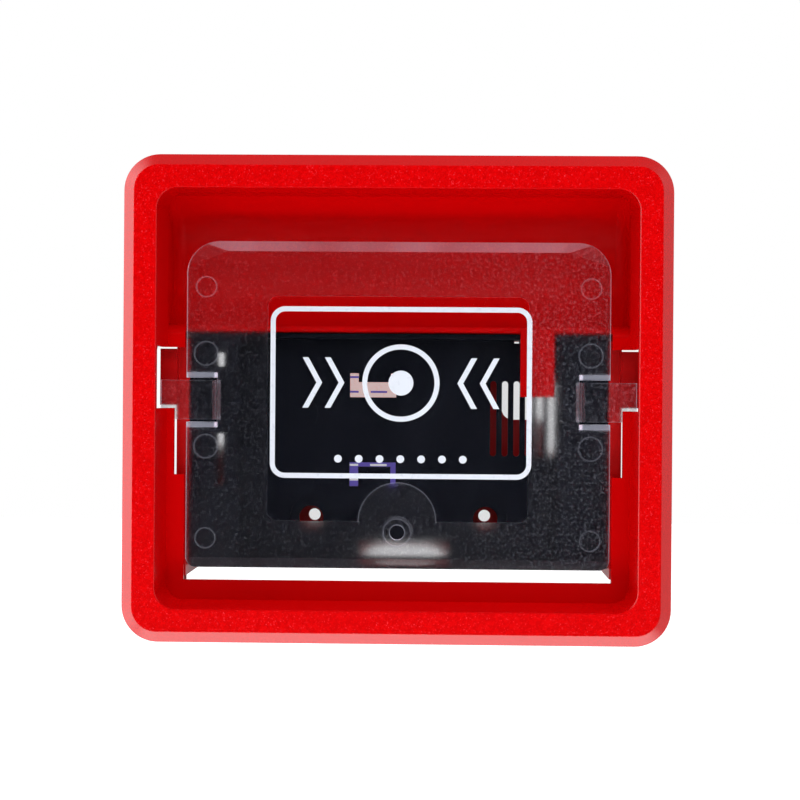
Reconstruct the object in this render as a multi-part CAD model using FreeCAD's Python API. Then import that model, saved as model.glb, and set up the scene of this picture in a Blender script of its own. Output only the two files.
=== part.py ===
import FreeCAD, Part
import math
import os

# Emergency key box for a wall. A red cover frames a clear panel, which is pulled out by its top
# edge. Behind it a black key plate stands in a red rear case with two wall screw holes.
# Millimetres. X is to the right, Z is up, and the front looks along -Y. The origin is the middle
# of the wall face. Most places are given as a depth behind the front face of the cover.

# Clear panel
panel_width = 142.6
panel_height = 110.1
panel_thickness = 2.6
panel_front = 17.2
panel_top_radius = 11.0
panel_bottom_radius = 3.4
panel_edge_bevel = 3.4
panel_bevel_depth = 1.2
facet_run = 13.9
facet_rise = 5.2
window_width = 88.0
window_top_margin = 18.4
window_bottom_margin = 15.9
window_radius = 3.4
window_relief = 0.2
seal_height = 12.2
seal_hole_radius = 2.5
seal_dish_radius = 4.5
seal_dish_depth = 0.9
seal_ring_width = 0.7
seal_ring_height = 0.9
seal_land_radius = 13.1
ejector_mark_radius = 3.4
tongue_mark_radius = 4.0
mark_relief = 0.15

# Snap tongues at the sides of the panel
tongue_drop = 53.6
tongue_height = 13.3
tongue_root = 10.3
tongue_reach = 9.3
tongue_thickness = 2.2
tongue_slope_run = 2.2
slit_width = 0.8
rib_width = 1.8
rib_height = 2.6

# White print on the panel
print_thickness = 0.12
print_line = 1.7
print_width = 88.0
print_height = 57.8
print_shift = 1.0
print_top_margin = 21.9
print_radius = 5.0
ring_radius = 13.0
dot_radius = 4.2
chevron_height = 17.0
chevron_pitch = 7.5
chevron_start = 19.0
row_dot_radius = 1.3
row_dot_pitch = 7.0
row_dot_count = 7
row_dot_rise = 6.6

# Front cover
bevel = 4.0
band_width = 7.3
corner_radius = 12.0
edge_round = 0.6
cover_depth = 16.0
cover_wall = 2.4
flange_thickness = 2.6
mouth_radius = 7.0
mouth_draft = 1.2
mouth_edge = 0.4
tub_wall = 2.0
ledge_depth = 18.5
ledge_thickness = 2.2
side_ledge = 5.9
bottom_ledge = 6.6
opening_side_gap = 0.8
opening_bottom_gap = 4.4
finger_gap = 16.1

# Finger pocket over the key plate
pocket_height = 46.4
pocket_roof = 12.0
pocket_depth = 36.5
pocket_corner = 4.0
lip_radius = 1.2
lip_front = 25.0
sill_round = 4.2

# Notches in the side ledges, with the tongues behind them
tongue_hold = 3.8
lift_room = 11.1
notch_side_room = 1.4
stem_notch_width = 3.6
stem_notch_height = 22.4
seat_gap = 0.3
seat_thickness = 2.0
seat_side_gap = 0.8
seat_overlap = 0.3

# Stop tongue that hangs from the lip of the pocket
stop_left = 41.4
stop_width = 11.5
stop_drop = 21.6
stop_thickness = 2.2
stop_rib_offset = 5.5
stop_rib_width = 1.0
stop_rib_height = 0.8
stop_rib_length = 13.0

# Rear case
overall_depth = 55.0
case_gap = 0.4
case_inset = 0.3
case_wall = 2.3
back_thickness = 2.0
locating_lip = 1.2
locating_length = 3.0
guide_gap = 0.4
guide_wall = 2.0
guide_lip = 4.4
guide_recess = 7.3
guide_lip_thickness = 2.0
catch_thickness = 4.8
catch_gap = 1.9
catch_margin = 0.4
catch_side_margin = 0.85
lip_cover = 1.0
guide_tie_height = 7.0
locating_reach = 3.0

# Fasteners and the wall screw holes
wall_hole_spacing = 60.3
wall_hole_radius = 2.1
wall_hole_height = 15.9
driver_hole_radius = 4.2
driver_dish_radius = 7.3
driver_dish_depth = 0.8
screw_radius = 1.4
thread_gap = 0.05
screw_hole_gap = 0.3
screw_head_radius = 2.8
screw_head_height = 2.2
head_well_gap = 0.3
boss_wall = 2.0
boss_inset = 7.8
boss_sink = 0.3
case_screw_length = 12.0
plate_screw_length = 8.0
screw_seat = 3.0

# Key plate
plate_front = 27.5
plate_thickness = 2.0
floor_recess = 7.5
plate_gap = 0.3
side_strip = 17.1
step_wall = 1.8
rim_wall = 1.8
plate_under_panel = 0.2
grille_start = 32.6
grille_pitch = 4.0
grille_count = 6
grille_slot_width = 2.15
grille_top = 15.9
grille_height = 26.0
strip_slot_offset = 10.6
strip_slot_width = 2.1
strip_slot_top = 7.0
strip_slot_height = 45.3
hook_window_width = 16.0
hook_window_height = 8.3
hook_window_centre = -9.0
upper_hook_drop = 13.5
lower_hook_drop = 44.3
hook_width = 11.1
hook_lip = 1.4
seal_slot_left = -13.2
seal_slot_width = 30.5
seal_slot_height = 4.9
seal_slot_rise = 3.1
pad_height = 0.3
left_pad_place = -34.2
left_pad_drop = 4.6
left_pad_radius = 6.2
right_pad_place = 10.3
right_pad_drop = 16.8
right_pad_radius = 6.4
middle_pad_place = -1.1
middle_pad_drop = 6.4
middle_pad_radius = 4.2
plate_boss_length = 7.7
upper_boss_drop = 9.0
lower_boss_rise = 7.2
left_boss_place = -46.0
upper_right_boss_place = 26.0
lower_right_boss_place = 46.0
vent_place = 40.5
vent_width = 1.7

# Wall openings in the back of the rear case
side_window_margin = 0.6
left_window_edge = 57.0
right_window_edge = 36.0
right_window_step = 51.0
side_window_drop = 16.2
right_window_drop = 6.4
window_corner = 4.0
notch_window_drop = 3.0
bottom_window_left = -15.0
bottom_window_width = 34.0
bottom_window_radius = 10.5

# Label behind the hook windows
label_width = 30.0
label_height = 56.0
label_thickness = 0.2
label_edge = 1.5

# Alarm switch behind the left strip of the key plate, with its slider and lever
slider_gap = 0.2
slider_height = 23.0
slider_nose_height = 2.6
slider_nose_rise = 6.1
slider_shoulder = 1.1
slider_shoulder_thickness = 1.3
slider_set_back = 1.2
slider_nose_gap = 0.55
nub_height = 1.6
switch_length = 20.0
switch_thickness = 6.4
switch_height = 10.2
switch_front_gap = 5.6
switch_wall = 1.2
switch_mount_gap = 0.3
switch_mount_height = 23.0
switch_mount_set_back = 1.3
lever_pivot_rise = 0.9
lever_pivot_gap = 1.1
lever_length = 16.0
lever_width = 3.4
lever_thickness = 0.3
lever_lean = 2.5
lever_pin_radius = 0.4
lever_root_radius = 0.85
running_gap = 0.05
ear_thickness = 0.8
ear_gap = 0.15
lever_contact_gap = 0.2
slider_contact_height = 13.6
plunger_height = 7.6
plunger_radius = 0.9
plunger_flange_radius = 1.5
plunger_flange_height = 0.8
plunger_travel = 0.5
flange_gap = 0.2
blade_gap = 0.15
blade_thickness = 0.2
blade_width = 2.4
terminal_width = 2.4
terminal_thickness = 0.5
terminal_length = 5.7
terminal_pitch = 7.2
terminal_slot_gap = 0.05
switch_hole_spacing = 9.5
switch_hole_rise = 2.1
switch_screw_radius = 1.0
switch_screw_head_radius = 1.9
switch_screw_head_height = 1.3

# Places worked out from the sizes above, heights first
cover_width = panel_width + 2 * (opening_side_gap + side_ledge + mouth_draft + band_width + bevel)
cover_height = (panel_height + finger_gap + opening_bottom_gap + bottom_ledge + mouth_draft
                + 2 * (band_width + bevel))
half_width = cover_width / 2
half_height = cover_height / 2
mouth_half_width = half_width - bevel - band_width
mouth_top = half_height - bevel - band_width
panel_half = panel_width / 2
panel_top = mouth_top - finger_gap
panel_bottom = panel_top - panel_height
panel_back = panel_front + panel_thickness
opening_half = panel_half + opening_side_gap
opening_bottom = panel_bottom - opening_bottom_gap
ledge_back = ledge_depth + ledge_thickness
lip_under = mouth_top - pocket_height
lip_top = lip_under + 2 * lip_radius
pocket_half_width = mouth_half_width - mouth_draft
tongue_centre = panel_top - tongue_drop
tongue_top = tongue_centre + tongue_height / 2
tongue_bottom = tongue_centre - tongue_height / 2
tongue_front = ledge_back + case_gap
tongue_back = tongue_front + tongue_thickness
tongue_inner = panel_half - tongue_root
tongue_outer = panel_half + tongue_reach
notch_top = tongue_top + lift_room
notch_step = tongue_bottom + tongue_hold
notch_outer = tongue_outer + notch_side_room
stem_notch_outer = opening_half + stem_notch_width
stem_notch_bottom = notch_step - stem_notch_height
guide_inner = panel_half + guide_gap
guide_outer = guide_inner + guide_lip
guide_front = ledge_back + case_gap
guide_set_back = ledge_back + guide_recess
guide_top = lip_under - 2.4
guide_bottom = opening_bottom + 1.2
catch_front = tongue_back + catch_gap
back_front = overall_depth - back_thickness
case_front = cover_depth + case_gap
boss_x = half_width - boss_inset
boss_z = half_height - boss_inset
boss_radius = screw_head_radius + head_well_gap + boss_wall / 2
screw_hole_radius = screw_radius + screw_hole_gap
head_well_radius = screw_head_radius + head_well_gap
plate_half = guide_inner - plate_gap
plate_top = lip_under - plate_gap
plate_bottom = panel_bottom - plate_under_panel
strip_inner = plate_half - side_strip
strip_back = plate_front + plate_thickness
floor_front = plate_front + floor_recess
floor_back = floor_front + plate_thickness
boss_end = floor_back + plate_boss_length
wall_hole_z = panel_bottom + wall_hole_height
upper_boss_z = plate_top - upper_boss_drop
lower_boss_z = plate_bottom + lower_boss_rise
side_window_outer = half_width - case_inset - case_wall - side_window_margin
upper_hook_z = plate_top - upper_hook_drop
lower_hook_z = plate_top - lower_hook_drop
seal_slot_bottom = plate_bottom + seal_slot_rise
slot_outer = plate_half - strip_slot_offset + strip_slot_width / 2
slot_inner = slot_outer - strip_slot_width
switch_place = (slot_outer + slot_inner) / 2
mount_left = switch_thickness / 2 + switch_mount_gap - switch_place
switch_front = strip_back + switch_front_gap
switch_back = switch_front + switch_height
switch_bottom = tongue_centre - switch_length / 2
switch_top = tongue_centre + switch_length / 2
pivot_depth = switch_front - lever_pivot_gap
pivot_z = switch_bottom + lever_pivot_rise
lean = math.radians(lever_lean)
chamber_back = switch_back - 2 * switch_hole_rise
flange_front = switch_front + switch_wall + plunger_travel + flange_gap
blade_front = flange_front + plunger_flange_height + blade_gap


def y_at(depth):
    return depth - overall_depth


def block(left, right, front, back, bottom, top):
    corner = FreeCAD.Vector(left, y_at(front), bottom)
    return Part.makeBox(right - left, back - front, top - bottom, corner)


def outline(left, right, bottom, top, radii, depth):
    """Closed wire of a rectangle at one depth, radii of its corners from bottom left, anticlockwise."""
    y = y_at(depth)
    places = [(left, bottom, 1, 1), (right, bottom, -1, 1), (right, top, -1, -1), (left, top, 1, -1)]
    turn = math.sqrt(0.5)
    ends = []
    edges = []
    for (x, z, inward_x, inward_z), radius in zip(places, radii):
        along_x = FreeCAD.Vector(x + inward_x * radius, y, z)
        along_z = FreeCAD.Vector(x, y, z + inward_z * radius)
        first_is_z = inward_x == inward_z
        start = along_z if first_is_z else along_x
        end = along_x if first_is_z else along_z
        ends.append((start, end))
        if radius > 0:
            centre_x = x + inward_x * radius
            centre_z = z + inward_z * radius
            middle = FreeCAD.Vector(
                centre_x - inward_x * radius * turn, y, centre_z - inward_z * radius * turn)
            edges.append(Part.Arc(start, middle, end).toShape())
    for index in range(4):
        leave = ends[index][1]
        arrive = ends[(index + 1) % 4][0]
        edges.append(Part.LineSegment(leave, arrive).toShape())
    return Part.Wire(Part.__sortEdges__(edges))


def slab(wire, thickness):
    return Part.Face(wire).extrude(FreeCAD.Vector(0, thickness, 0))


def rounded_block(left, right, front, back, bottom, top, radius):
    return slab(outline(left, right, bottom, top, [radius] * 4, front), back - front)


def rod(x, z, radius, front, back):
    return Part.makeCylinder(
        radius, back - front, FreeCAD.Vector(x, y_at(front), z), FreeCAD.Vector(0, 1, 0))


def cross_rod(left, right, depth, z, radius):
    return Part.makeCylinder(
        radius, right - left, FreeCAD.Vector(left, y_at(depth), z), FreeCAD.Vector(1, 0, 0))


def side_profile(points, left, right):
    """Prism along X from corner points given as depth and height."""
    corners = [FreeCAD.Vector(left, y_at(depth), z) for depth, z in points]
    face = Part.Face(Part.makePolygon(corners + corners[:1]))
    return face.extrude(FreeCAD.Vector(right - left, 0, 0))


def plan_profile(points, bottom, top):
    """Prism along Z from corner points given as x and depth."""
    corners = [FreeCAD.Vector(x, y_at(depth), bottom) for x, depth in points]
    face = Part.Face(Part.makePolygon(corners + corners[:1]))
    return face.extrude(FreeCAD.Vector(0, 0, top - bottom))


def both_sides(shape):
    return [shape, shape.mirror(FreeCAD.Vector(0, 0, 0), FreeCAD.Vector(1, 0, 0))]


def joined(shapes):
    return shapes[0].multiFuse(shapes[1:]).removeSplitter()


def save(name, shape):
    solids = shape.Solids
    whole = solids[0] if len(solids) == 1 else Part.makeCompound(solids)
    whole.exportStep(os.path.join("parts", name + ".step"))
    faults = [index for index, solid in enumerate(solids) if not solid.isValid() or not solid.isClosed()]
    print(name, len(solids), "solids", round(whole.Volume, 1), "mm3", "faults", faults)


def edges_at_depth(shape, depth):
    y = y_at(depth)
    return [edge for edge in shape.Edges
            if abs(edge.BoundBox.YMin - y) < 0.01 and abs(edge.BoundBox.YMax - y) < 0.01]


def cover_outline(inset, depth):
    radius = corner_radius - inset
    return outline(-half_width + inset, half_width - inset, -half_height + inset,
                   half_height - inset, [radius] * 4, depth)


def mouth_outline(growth, depth):
    draft = mouth_draft * depth / ledge_depth - growth
    side = mouth_half_width - draft
    return outline(-side, side, -mouth_top + draft, mouth_top + growth,
                   [mouth_radius - draft] * 4, depth)


def pocket_profile(growth, front, left, right):
    """Space of the finger pocket, or with a growth the outside of its wall."""
    top = mouth_top + growth
    radius = pocket_depth - pocket_roof + growth
    centre_z = top - radius
    lower = lip_top if growth == 0 else lip_under
    end_angle = math.asin((centre_z - lower) / radius)
    start = FreeCAD.Vector(left, y_at(front), top)
    roof_end = FreeCAD.Vector(left, y_at(pocket_roof), top)
    middle = FreeCAD.Vector(left, y_at(pocket_roof + radius), centre_z)
    bottom_end = FreeCAD.Vector(left, y_at(pocket_roof + radius * math.cos(end_angle)), lower)
    front_end = FreeCAD.Vector(left, y_at(front), lower)
    edges = [
        Part.LineSegment(start, roof_end).toShape(),
        Part.Arc(roof_end, middle, bottom_end).toShape(),
        Part.LineSegment(bottom_end, front_end).toShape(),
        Part.LineSegment(front_end, start).toShape(),
    ]
    return Part.Face(Part.Wire(edges)).extrude(FreeCAD.Vector(right - left, 0, 0))


def cover_shell():
    """Bevelled flange with its short skirt, hollow behind."""
    bevelled = Part.makeLoft([cover_outline(bevel, 0), cover_outline(0, bevel)], True, True)
    skirt = slab(cover_outline(0, bevel), cover_depth - bevel)
    outside = joined([bevelled, skirt])
    outside = outside.makeFillet(edge_round, edges_at_depth(outside, 0))
    shoulder = flange_thickness + bevel - cover_wall / 2
    inner_front = cover_outline(bevel + cover_wall / 3, flange_thickness)
    inner_shoulder = cover_outline(cover_wall, shoulder)
    hollow_front = Part.makeLoft([inner_front, inner_shoulder], True, True)
    hollow_skirt = slab(inner_shoulder, cover_depth - shoulder + 1)
    return outside.cut(hollow_front).cut(hollow_skirt)


def pocket_space():
    """Finger pocket with rounded corners at both ends, inside the mouth's own corners."""
    space = pocket_profile(0, -1, -pocket_half_width, pocket_half_width)
    curved = [edge for edge in space.Edges if isinstance(edge.Curve, Part.Circle)]
    corner = mouth_radius - mouth_draft
    limits = slab(outline(-pocket_half_width, pocket_half_width, lip_under - 1, mouth_top,
                          [0, 0, corner, corner], -2), overall_depth)
    return space.makeFillet(pocket_corner, curved).common(limits)


def lip_nose():
    """Round front edge of the lip under the pocket."""
    centre = lip_front + lip_radius
    round_edge = cross_rod(-opening_half, opening_half, centre, lip_under + lip_radius, lip_radius)
    bar = block(-opening_half, opening_half, centre, lip_front + 3 * lip_radius, lip_under, lip_top)
    return [round_edge, bar]


def sill_rounding():
    """What is taken off the top edges of the side ledges."""
    centre_depth = ledge_depth + sill_round
    centre_z = lip_top - sill_round
    corner = block(opening_half, pocket_half_width, ledge_depth - 0.1, centre_depth,
                   centre_z, lip_top + 0.1)
    kept = cross_rod(opening_half - 1, pocket_half_width + 1, centre_depth, centre_z, sill_round)
    return corner.cut(kept)


def ledge_notches():
    """Wide notch that a tongue goes in through, and the narrow one for its stem."""
    wide = block(panel_half - 1, notch_outer, flange_thickness, ledge_back + 1, notch_step, notch_top)
    stem = block(panel_half - 1, stem_notch_outer, ledge_depth - 1, ledge_back + 1,
                 stem_notch_bottom, notch_step + 1)
    return [wide, stem]


def tongue_seat():
    """Rib behind the right ledge that carries the tongue of the panel."""
    top = tongue_bottom - seat_gap
    return block(stem_notch_outer + seat_side_gap, tongue_outer, ledge_back - 0.5,
                 tongue_back + seat_overlap, top - seat_thickness, top)


def stop_tongue():
    """Tongue that hangs from the lip and backs the panel when somebody leans on it."""
    right = stop_left + stop_width
    bottom = lip_under - stop_drop
    plate = block(stop_left, right, lip_front, lip_front + stop_thickness, bottom, lip_top - lip_radius)
    rib_left = stop_left + stop_rib_offset
    rib = block(rib_left, rib_left + stop_rib_width, lip_front - stop_rib_height,
                lip_front + stop_thickness / 2, bottom, bottom + stop_rib_length)
    return [plate, rib]


def corner_places():
    return [(side * boss_x, level * boss_z) for side in (-1, 1) for level in (-1, 1)]


def front_cover():
    tub = Part.makeLoft([mouth_outline(tub_wall, flange_thickness / 2),
                         mouth_outline(tub_wall, ledge_back)], True, True)
    recess = Part.makeLoft([mouth_outline(0, 0), mouth_outline(0, ledge_depth)], True, True)
    flare = Part.makeLoft([mouth_outline(mouth_edge, 0), mouth_outline(0, mouth_edge)], True, True)
    mouth_cut = mouth_outline(mouth_edge, 0)
    pocket_wall = pocket_profile(tub_wall, flange_thickness / 2, -pocket_half_width - tub_wall,
                                 pocket_half_width + tub_wall)
    for x, z in corner_places():
        pocket_wall = pocket_wall.cut(rod(x, z, boss_radius + case_gap, case_front, overall_depth))
    bosses = [rod(x, z, boss_radius, flange_thickness - boss_sink, case_front) for x, z in corner_places()]
    body = joined([cover_shell(), tub, pocket_wall] + bosses)
    opening = block(-opening_half, opening_half, ledge_depth - 1, lip_front,
                    opening_bottom, lip_top + 1)
    below_lip = block(-opening_half, opening_half, ledge_depth - 1, pocket_depth + tub_wall + 1,
                      opening_bottom, lip_under)
    front_cut = slab(mouth_cut, -1)
    body = body.cut(Part.makeCompound([recess, pocket_space(), opening, below_lip, front_cut]))
    body = body.cut(flare)
    rounding = lip_front + lip_radius
    nose_space = block(-opening_half, opening_half, lip_front - 1, rounding, lip_under - 1, lip_top + 1)
    body = body.cut(nose_space)
    body = joined([body] + lip_nose() + stop_tongue() + both_sides(tongue_seat()))
    for cut in [sill_rounding()] + ledge_notches():
        for side in both_sides(cut):
            body = body.cut(side)
    for x, z in corner_places():
        body = body.cut(rod(x, z, screw_radius + thread_gap, flange_thickness + 2, case_front + 1))
    return body


def facet_wedge():
    """Sliver that is taken off the front of the panel at its upper left corner."""
    length = 60.0
    reach = 14.0
    fall = reach * panel_bevel_depth / panel_edge_bevel / 2
    start = FreeCAD.Vector(-panel_half, y_at(panel_front), panel_top - panel_edge_bevel - facet_rise)
    along = FreeCAD.Vector(facet_run, 0, facet_rise).normalize()
    outward = FreeCAD.Vector(-along.z, 0, along.x)
    first = start - along * (length / 2)
    corners = [
        first,
        first + outward * reach + FreeCAD.Vector(0, fall, 0),
        first + outward * reach - FreeCAD.Vector(0, 1, 0),
        first - FreeCAD.Vector(0, 1, 0),
    ]
    return Part.Face(Part.makePolygon(corners + corners[:1])).extrude(along * length)


def tongue():
    """Left snap tongue, stepped back from the panel to run behind the ledge."""
    step = tongue_front - panel_front
    slope = math.hypot(tongue_slope_run, step)
    shift = tongue_thickness * slope / step
    front_start = -tongue_inner
    rear_offset = tongue_slope_run / step
    rear_start = front_start + shift - (panel_back - panel_front) * rear_offset
    rear_end = front_start + shift - (tongue_back - panel_front) * rear_offset
    points = [
        (front_start, panel_front),
        (front_start - tongue_slope_run, tongue_front),
        (-tongue_outer, tongue_front),
        (-tongue_outer, tongue_back),
        (rear_end, tongue_back),
        (rear_start, panel_back),
        (rear_start + 1, panel_back),
        (rear_start + 1, panel_front),
    ]
    return plan_profile(points, tongue_bottom, tongue_top)


def tongue_ribs():
    upper = tongue_top + slit_width
    lower = tongue_bottom - slit_width
    ribs = []
    for bottom in (upper, lower - rib_width):
        points = [
            (-panel_half, panel_back - 0.5),
            (-panel_half, panel_back + rib_height),
            (-tongue_inner - rib_height / 2, panel_back + rib_height),
            (-tongue_inner, panel_back),
            (-tongue_inner, panel_back - 0.5),
        ]
        ribs.append(plan_profile(points, bottom, bottom + rib_width))
    return ribs


def polished_window():
    """Shallow relief in the rear face, left out round the seal hole."""
    bottom = panel_bottom + window_bottom_margin
    relief = rounded_block(-window_width / 2, window_width / 2, panel_back - window_relief,
                           panel_back + 1, bottom, panel_top - window_top_margin, window_radius)
    land = rod(0, bottom, seal_land_radius, panel_front, panel_back + 2)
    return relief.cut(land)


def moulding_marks():
    """Places and radii of the round ejector marks on the left half of the panel."""
    inset = ejector_mark_radius * 1.9
    beside_tongue = tongue_height / 2 + slit_width + rib_width + tongue_mark_radius * 1.6
    return [
        (-panel_half + inset, panel_top - panel_top_radius - ejector_mark_radius * 1.3, ejector_mark_radius),
        (-panel_half + inset, panel_bottom + ejector_mark_radius * 2.9, ejector_mark_radius),
        (-panel_half + inset, tongue_centre + beside_tongue, tongue_mark_radius),
        (-panel_half + inset, tongue_centre - beside_tongue, tongue_mark_radius),
    ]


def clear_panel():
    plate = slab(outline(-panel_half, panel_half, panel_bottom, panel_top,
                         [panel_bottom_radius, panel_bottom_radius, panel_top_radius, panel_top_radius],
                         panel_front), panel_thickness)
    ring = rod(0, panel_bottom + seal_height, seal_dish_radius + seal_ring_width,
               panel_front, panel_back + seal_ring_height)
    gap = block(-panel_half - 1, -tongue_inner, panel_front - 1, panel_back + 1,
                tongue_bottom - slit_width, tongue_top + slit_width)
    cuts = both_sides(gap)
    for x, z, radius in moulding_marks():
        cuts += both_sides(rod(x, z, radius, panel_back - mark_relief, panel_back + 1))
    cuts.append(polished_window())
    body = plate
    for cut in cuts:
        body = body.cut(cut)
    added = [ring]
    for piece in [tongue()] + tongue_ribs():
        added += both_sides(piece)
    body = joined([body] + added)
    top_bevel = side_profile([
        (panel_front, panel_top - panel_edge_bevel),
        (panel_front + panel_bevel_depth, panel_top),
        (panel_front + panel_bevel_depth, panel_top + 1),
        (panel_front - 1, panel_top + 1),
        (panel_front - 1, panel_top - panel_edge_bevel),
    ], -panel_half - 1, panel_half + 1)
    bottom_bevel = side_profile([
        (panel_front, panel_bottom + panel_edge_bevel),
        (panel_front + panel_bevel_depth, panel_bottom),
        (panel_front + panel_bevel_depth, panel_bottom - 1),
        (panel_front - 1, panel_bottom - 1),
        (panel_front - 1, panel_bottom + panel_edge_bevel),
    ], -panel_half - 1, panel_half + 1)
    for cut in [top_bevel, bottom_bevel] + both_sides(facet_wedge()):
        body = body.cut(cut)
    seal_z = panel_bottom + seal_height
    body = body.cut(rod(0, seal_z, seal_dish_radius, panel_front - 1, panel_front + seal_dish_depth))
    return body.cut(rod(0, seal_z, seal_hole_radius, panel_front - 1, panel_back + 2))


def chevron(point_x, middle_z, direction):
    """One arrow head of even line, its point at point_x."""
    half = chevron_height / 2
    lean_in = half * 0.55 * direction
    line = print_line * 1.15 * direction
    points = [
        (point_x, middle_z),
        (point_x - lean_in, middle_z + half),
        (point_x - lean_in - line, middle_z + half),
        (point_x - line, middle_z),
        (point_x - lean_in - line, middle_z - half),
        (point_x - lean_in, middle_z - half),
    ]
    front = y_at(panel_front - print_thickness)
    corners = [FreeCAD.Vector(x, front, z) for x, z in points]
    face = Part.Face(Part.makePolygon(corners + corners[:1]))
    return face.extrude(FreeCAD.Vector(0, print_thickness, 0))


def panel_print():
    """White line frame with a ring, a dot, arrow heads and a row of dots."""
    front = panel_front - print_thickness
    top = panel_top - print_top_margin
    bottom = top - print_height
    left = print_shift - print_width / 2
    right = print_shift + print_width / 2
    frame = rounded_block(left, right, front, panel_front, bottom, top, print_radius)
    inside = rounded_block(left + print_line, right - print_line, front - 1, panel_front + 1,
                           bottom + print_line, top - print_line, print_radius - print_line)
    middle_z = (top + bottom) / 2 + row_dot_rise / 2
    ring = rod(print_shift, middle_z, ring_radius, front, panel_front)
    ring = ring.cut(rod(print_shift, middle_z, ring_radius - print_line, front - 1, panel_front + 1))
    shapes = [frame.cut(inside), ring, rod(print_shift, middle_z, dot_radius, front, panel_front)]
    for direction in (-1, 1):
        for index in range(2):
            point = print_shift + direction * (chevron_start + index * chevron_pitch)
            shapes.append(chevron(point, middle_z, -direction))
    for index in range(row_dot_count):
        x = print_shift + (index - (row_dot_count - 1) / 2) * row_dot_pitch
        shapes.append(rod(x, bottom + row_dot_rise, row_dot_radius, front, panel_front))
    return Part.makeCompound(shapes)


def stadium_slot(x, bottom, top, width, front, back):
    radius = width / 2
    slot = block(x - radius, x + radius, front, back, bottom + radius, top - radius)
    ends = [rod(x, z, radius, front, back) for z in (bottom + radius, top - radius)]
    return joined([slot] + ends)


def wall_hole_places():
    return [(side * wall_hole_spacing / 2, wall_hole_z) for side in (-1, 1)]


def plate_boss_places():
    return [
        (left_boss_place, upper_boss_z),
        (upper_right_boss_place, upper_boss_z),
        (left_boss_place, lower_boss_z),
        (lower_right_boss_place, lower_boss_z),
    ]


def hook_cuts():
    """Two windows in the floor of the key plate, each with a moulded hook in it."""
    cuts = []
    half = hook_window_height / 2
    left = hook_window_centre - hook_window_width / 2
    for middle_z in (upper_hook_z - half, lower_hook_z - half):
        cuts.append(block(left, left + hook_window_width, floor_front - 1, floor_back + 1,
                          middle_z - half, middle_z + half))
    return cuts


def hooks():
    left = hook_window_centre - hook_window_width / 2 + (hook_window_width - hook_width) / 1.6
    right = left + hook_width
    upper_length = hook_window_height * 0.37
    lower_length = hook_window_height * 0.82
    lower_bottom = lower_hook_z - hook_window_height
    upper = block(left, right, floor_front, floor_back, upper_hook_z - upper_length, upper_hook_z + 0.5)
    upper_lip = block(left, right, floor_front - hook_lip, floor_front + 0.5,
                      upper_hook_z - upper_length, upper_hook_z - upper_length + hook_lip)
    lower = block(left, right, floor_front, floor_back, lower_bottom - 0.5, lower_bottom + lower_length)
    lower_lip = block(left, right, floor_front - hook_lip, floor_front + 0.5,
                      lower_bottom + lower_length - hook_lip, lower_bottom + lower_length)
    return [upper, upper_lip, lower, lower_lip]


def key_plate():
    floor = block(-strip_inner - step_wall, strip_inner + step_wall, floor_front, floor_back,
                  plate_bottom, plate_top)
    strip = block(-plate_half, -strip_inner, plate_front, strip_back, plate_bottom, plate_top)
    step = block(-strip_inner - step_wall, -strip_inner, plate_front, floor_back, plate_bottom, plate_top)
    side = block(-plate_half, -plate_half + rim_wall, plate_front, floor_back, plate_bottom, plate_top)
    bottom = block(-plate_half, plate_half, plate_front, floor_back, plate_bottom, plate_bottom + rim_wall)
    top = block(-plate_half, plate_half, plate_front, floor_back, plate_top - rim_wall, plate_top)
    mount = block(mount_left, -strip_inner, strip_back - 1, switch_back - switch_mount_set_back,
                  tongue_centre - switch_mount_height / 2, tongue_centre + switch_mount_height / 2)
    pads = [
        rod(left_pad_place, tongue_centre - left_pad_drop, left_pad_radius,
            floor_front - pad_height, floor_back),
        rod(right_pad_place, tongue_centre - right_pad_drop, right_pad_radius,
            floor_front - pad_height, floor_back),
        rod(middle_pad_place, tongue_centre - middle_pad_drop, middle_pad_radius,
            floor_front - pad_height, floor_back),
    ]
    bosses = [rod(x, z, screw_radius + boss_wall, floor_front + 0.5, boss_end)
              for x, z in plate_boss_places()]
    body = joined([floor, bottom, top, mount] + both_sides(strip) + both_sides(step)
                  + both_sides(side) + pads + bosses)
    cuts = hook_cuts()
    for index in range(grille_count):
        cuts.append(stadium_slot(grille_start + index * grille_pitch, plate_top - grille_top - grille_height,
                                 plate_top - grille_top, grille_slot_width, floor_front - 1, floor_back + 1))
    cuts.append(block(-slot_outer, -slot_inner, plate_front - 1, strip_back + 0.5,
                      plate_top - strip_slot_top - strip_slot_height, plate_top - strip_slot_top))
    cuts.append(block(seal_slot_left, seal_slot_left + seal_slot_width, floor_front - 1, floor_back + 1,
                      seal_slot_bottom, seal_slot_bottom + seal_slot_height))
    vent_top = plate_top - rim_wall - 0.2
    cuts.append(block(vent_place - vent_width / 2, vent_place + vent_width / 2, floor_front - 1,
                      floor_back + 1, vent_top - vent_width / 2, vent_top))
    for x, z in wall_hole_places():
        cuts.append(rod(x, z, driver_hole_radius, floor_front - 1, floor_back + 1))
        cuts.append(rod(x, z, driver_dish_radius, floor_front - 1, floor_front + driver_dish_depth))
    for x, z in plate_boss_places():
        cuts.append(rod(x, z, screw_radius + thread_gap, floor_back, boss_end + 1))
    for z in switch_hole_places():
        cuts.append(cross_rod(mount_left - 1, -strip_inner + 1, switch_back - switch_hole_rise, z,
                              switch_screw_radius + running_gap))
    for cut in cuts:
        body = body.cut(cut)
    return joined([body] + hooks())


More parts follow.
